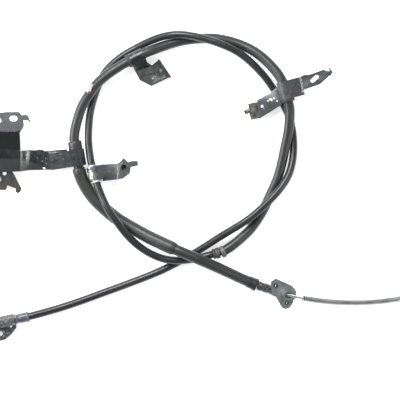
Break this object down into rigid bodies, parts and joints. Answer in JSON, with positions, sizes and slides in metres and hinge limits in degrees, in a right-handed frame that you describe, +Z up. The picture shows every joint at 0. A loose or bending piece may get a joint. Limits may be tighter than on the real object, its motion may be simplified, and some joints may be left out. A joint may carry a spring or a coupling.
{
  "type": "parking brake cable",
  "caption": "Sheathed brake cable in two flat turns with crimped ferrules, folded steel brackets, an oblique zinc flange, bare wire ends and a return spring",
  "frame": {"origin": "middle of the bounding box at the base, on the surface the cable lies on", "axes": "+Z up, +X from the lever end towards the drum end, +Y across the loops"},
  "size_m": [0.5032, 0.3408, 0.0299],
  "materials": {
    "thin_jacket": "smooth glossy black extruded jacket",
    "thick_jacket": "satin black extruded jacket",
    "sleeve": "satin black sleeve",
    "rubber": "matte black rubber",
    "black_sheet": "satin black coated sheet steel",
    "grey_sheet": "satin dark grey coated sheet steel",
    "zinc": "bright zinc plate",
    "dark_zinc": "dull crimped zinc plate",
    "olive_zinc": "grey-green passivated zinc",
    "steel": "bright steel wire",
    "tape": "matte pale tape"
  },
  "bodies": {
    "covering": {"conduit_thin": "thin_jacket", "conduit_thick": "thick_jacket", "protector_sleeve": "sleeve", "conduit_drum_side": "thick_jacket", "lever_ferrule": "zinc", "lever_bracket": "dark_zinc", "crimp_ferrule": "dark_zinc", "crimp_ring": "zinc", "p_clip": "black_sheet", "p_clip_collar": "rubber", "right_bracket": "grey_sheet", "right_grommet": "rubber", "clip_liner": "zinc", "clip_nut": "dark_zinc", "lug_rivet": "zinc", "clip_bracket": "dark_zinc", "left_bracket": "black_sheet", "left_grommet": "rubber", "left_lug": "black_sheet", "drum_boot": "thin_jacket", "drum_ferrule": "dark_zinc", "drum_flange": "olive_zinc", "tape_tag": "tape"},
    "drum_end_wire": {"drum_wire": "steel", "return_spring": "steel", "spring_seat": "steel", "drum_nipple": "zinc"},
    "lever_end_wire": {"lever_wire": "steel", "lever_nipple": "steel"}
  },
  "joints": [
    {"name": "drum_wire_stroke", "type": "hinge", "parent": "covering", "child": "drum_end_wire", "pos_m": [0.17016, 0.17389, 0.01103], "axis": [0, 0, 1], "range_deg": [-1.9, 0]},
    {"name": "lever_wire_stroke", "type": "slide", "parent": "covering", "child": "lever_end_wire", "axis": [-0.9806, -0.1961, 0], "range_m": [0, 0.0102]}
  ],
  "couplings": [
    {"joint": "lever_wire_stroke", "follows": "drum_wire_stroke", "m_per_rad": -0.30228}
  ]
}
